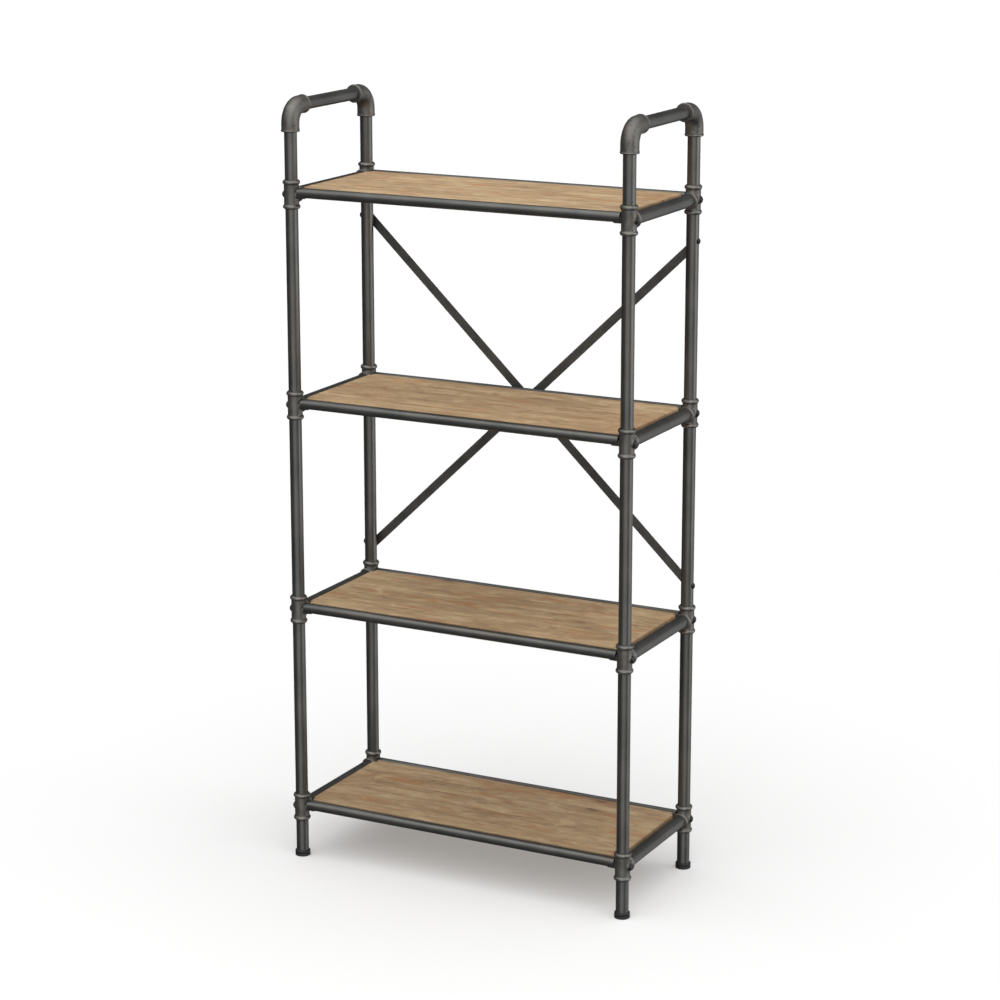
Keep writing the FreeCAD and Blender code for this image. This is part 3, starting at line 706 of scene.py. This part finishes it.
# ---------------------------------------------------------------- shelves of planks
def plank_tree():
    """Planks side by side with eased edges, cut away at the corners, each with its own mark."""
    graph, size, result = geometry_tree("plank_board", [
        ("Length", "Float"), ("Depth", "Float"), ("Thickness", "Float"), ("Planks", "Int"),
        ("Seam", "Float"), ("Ease", "Float"), ("Notch Length", "Float"), ("Notch Depth", "Float"),
        ("Uneven", "Float"), ("Stain", "Float"), ("Seed", "Int"), ("Centre", "Vector"),
        ("Material", "Material")], "Board")
    pitch = size["Depth"] / size["Planks"]
    outline = graph.node("GeometryNodeCurvePrimitiveQuadrilateral", {"mode": "RECTANGLE"},
                         {"Width": size["Thickness"], "Height": pitch - size["Seam"]})
    eased = graph.node("GeometryNodeFilletCurve", {"mode": "POLY"},
                       {"Curve": outline, "Count": 3, "Radius": size["Ease"]})
    half = size["Length"] / 2
    run = graph.node("GeometryNodeCurvePrimitiveLine", {}, {
        "Start": graph.node("ShaderNodeCombineXYZ", {}, [0.0, 0.0, -half]),
        "End": graph.node("ShaderNodeCombineXYZ", {}, [0.0, 0.0, half])})
    steps = graph.node("GeometryNodeResampleCurve", {}, {"Curve": run, "Count": 25})
    standing = graph.node("GeometryNodeCurveToMesh", {},
                          {"Curve": steps, "Profile Curve": eased, "Fill Caps": True})
    plank = graph.node("GeometryNodeTransform", {},
                       {"Geometry": standing, "Rotation": (0.0, math.pi / 2, 0.0)})
    first = (pitch - size["Depth"]) / 2
    spots = graph.node("GeometryNodeMeshLine", {}, {
        "Count": size["Planks"],
        "Start Location": graph.node("ShaderNodeCombineXYZ", {}, [0.0, first, 0.0]),
        "Offset": graph.node("ShaderNodeCombineXYZ", {}, [0.0, pitch, 0.0])})
    laid = graph.node("GeometryNodeInstanceOnPoints", {}, {"Points": spots, "Instance": plank})
    drop = graph.node("FunctionNodeRandomValue", {"data_type": "FLOAT"}, {
        "Min": -size["Uneven"], "Max": 0.0, "Seed": size["Seed"]}, 1)
    settled = graph.node("GeometryNodeTranslateInstances", {}, {
        "Instances": laid,
        "Translation": graph.node("ShaderNodeCombineXYZ", {}, [0.0, 0.0, drop])})
    board = graph.node("GeometryNodeRealizeInstances", {}, [settled])

    corners = graph.node("GeometryNodeMeshGrid", {}, {
        "Size X": size["Length"], "Size Y": size["Depth"], "Vertices X": 2, "Vertices Y": 2})
    cutter = graph.node("GeometryNodeMeshCube", {}, {
        "Size": graph.node("ShaderNodeCombineXYZ", {}, [
            size["Notch Length"] * 2, size["Notch Depth"] * 2, size["Thickness"] * 3])})
    cutters = graph.node("GeometryNodeRealizeInstances", {}, [
        graph.node("GeometryNodeInstanceOnPoints", {}, {"Points": corners, "Instance": cutter})])
    notched = graph.node("GeometryNodeMeshBoolean", {"operation": "DIFFERENCE", "solver": "EXACT"},
                         {"Mesh 1": board, "Mesh 2": cutters})

    spot = graph.node("GeometryNodeInputPosition")
    along_depth = (graph.node("ShaderNodeSeparateXYZ", {}, [spot], 1) + size["Depth"] / 2) / pitch
    number = along_depth.whole()
    own = graph.node("FunctionNodeRandomValue", {"data_type": "FLOAT"}, {
        "Min": 0.0, "Max": 1.0, "ID": number, "Seed": size["Seed"]}, 1)
    edge = abs(along_depth - number - 0.5) * 2
    board = notched
    # Each plank's mark, where a point lies across its plank, and the shelf's painted shade factor.
    for mark, worth in (("plank", own), ("across", edge), ("stain", size["Stain"])):
        board = graph.node("GeometryNodeStoreNamedAttribute",
                           {"data_type": "FLOAT", "domain": "POINT"},
                           {"Geometry": board, "Name": mark, "Value": worth})
    placed = graph.node("GeometryNodeTransform", {},
                        {"Geometry": board, "Translation": size["Centre"]})
    coloured = graph.node("GeometryNodeSetMaterial", {},
                          {"Geometry": placed, "Material": size["Material"]})
    graph.feed(result, coloured)
    return graph.tree


# Painted shade and light for each shelf: its wood colour is multiplied by this factor, in place of
# the shade that the shelves above cast on it.
SHELF_PAINTED_SHADE = {"bottom": 0.84, "lower": 0.95, "upper": 1.13, "top": 1.0}
PLANK_COUNT = 5
FIRST_SEED = 3
PLANK_SEAM = 0.5 * MM
PLANK_EASE = 0.8 * MM
PLANK_UNEVEN = 0.25 * MM
NOTCH_CLEAR = 1.5 * MM    # between a plank's corner and the tee
PLANK_TREE = plank_tree()
for number, name in enumerate(LEVELS):
    node = "board_%s" % name
    size = extent(node)
    tee_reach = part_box("tee_%s_front_left" % name)[1]
    board_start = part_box(node)[0]
    notch = [far - near + NOTCH_CLEAR for far, near in zip(tee_reach, board_start)]
    planks = grown("planks_%s" % name, PLANK_TREE, bpy.data.meshes.new("planks_%s" % name),
                   Length=size.x, Depth=size.y, Thickness=size.z, Planks=PLANK_COUNT,
                   Seam=PLANK_SEAM, Ease=PLANK_EASE, Notch_Length=notch[0], Notch_Depth=notch[1],
                   Uneven=PLANK_UNEVEN, Stain=SHELF_PAINTED_SHADE[name], Seed=number + FIRST_SEED,
                   Centre=tuple(middle(node)), Material=WOOD)
    planks.data.shade_smooth()
    planks.data.set_sharp_from_angle(angle=math.radians(50))
    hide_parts(node)
    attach(planks, "frame")


# ---------------------------------------------------------------- floor, light and camera
DOME_BASE = 0.07
# Soft boxes: turn round the object, height above the horizon, strength, full and faded half angle.
BOXES = [(20, 70, 2.25, 14, 74), (20, -4, 0.95, 18, 48),
         (104, 5, 2.4, 12, 34), (152, -12, 0.55, 10, 42)]
BACKDROP = 0.97
FLOOR_REACH = 90.0
FLOOR_GLOW = 0.21


def aim(turn, climb):
    """The direction at a turn round the object from the front and a height, in radians."""
    return Vector((math.sin(turn) * math.cos(climb), -math.cos(turn) * math.cos(climb),
                   math.sin(climb)))


def studio():
    """A pale floor sheet that glows faintly, under a dome with soft boxes in it."""
    far = FLOOR_REACH
    mesh = bpy.data.meshes.new("floor")
    mesh.from_pydata([(-far, -far, 0), (far, -far, 0), (far, far, 0), (-far, far, 0)],
                     [], [(0, 1, 2, 3)])
    floor = stand("floor", mesh)
    paint = Finish("lit_floor_sheet", Base_Color=tone(0.58, 0.58, 0.58), Roughness=0.95,
                   Specular_IOR_Level=0.0, Emission_Color=tone(1, 1, 1),
                   Emission_Strength=FLOOR_GLOW)
    floor.data.materials.append(paint.material)
    floor.visible_glossy = False

    world = bpy.data.worlds.new("studio")
    world.use_nodes = True
    bpy.context.scene.world = world
    graph = Graph(world.node_tree)
    graph.tree.nodes.clear()
    way = graph.node("ShaderNodeTexCoord", {}, (), "Generated")
    glow = DOME_BASE
    for turn, climb, strength, inner, outer in BOXES:
        box = tuple(aim(math.radians(turn), math.radians(climb)))
        facing = graph.node("ShaderNodeVectorMath", {"operation": "DOT_PRODUCT"}, [way, box], 1)
        edges = [math.cos(math.radians(angle)) for angle in (outer, inner)]
        glow = glow + facing.between(*edges) * strength
    seen = graph.node("ShaderNodeLightPath", {}, (), "Is Camera Ray")
    strength = seen * BACKDROP + (1 - seen) * glow
    sky = graph.node("ShaderNodeBackground", {}, {"Color": tone(1, 1, 1), "Strength": strength})
    end = graph.tree.nodes.new("ShaderNodeOutputWorld")
    graph.feed(end.inputs["Surface"], sky)


studio()


CAMERA_PLACE = (2.5639, -4.9214, 2.1881)
CAMERA_TURN, CAMERA_CLIMB, CAMERA_ROLL = 27.546, 13.442, -0.074   # degrees
CAMERA_LENS = 103.0
CAMERA_SHIFT = (0.0100, -0.0456)


def camera():
    """Front right, a little above, at a long focal length."""
    data = bpy.data.cameras.new("camera")
    item = stand("camera", data)
    turn, climb, roll = map(math.radians, (CAMERA_TURN, CAMERA_CLIMB, CAMERA_ROLL))
    back = aim(turn, climb)
    across = Vector((math.cos(turn), math.sin(turn), 0))
    above = back.cross(across)
    right = math.cos(roll) * across + math.sin(roll) * above
    upward = math.cos(roll) * above - math.sin(roll) * across
    item.matrix_world = (Matrix.Translation(CAMERA_PLACE)
                         @ Matrix((right, upward, back)).transposed().to_4x4())
    data.sensor_width = 36
    data.lens = CAMERA_LENS
    data.shift_x, data.shift_y = CAMERA_SHIFT
    data.clip_end = 300
    bpy.context.scene.camera = item


camera()
bpy.context.scene.view_settings.view_transform = "Standard"
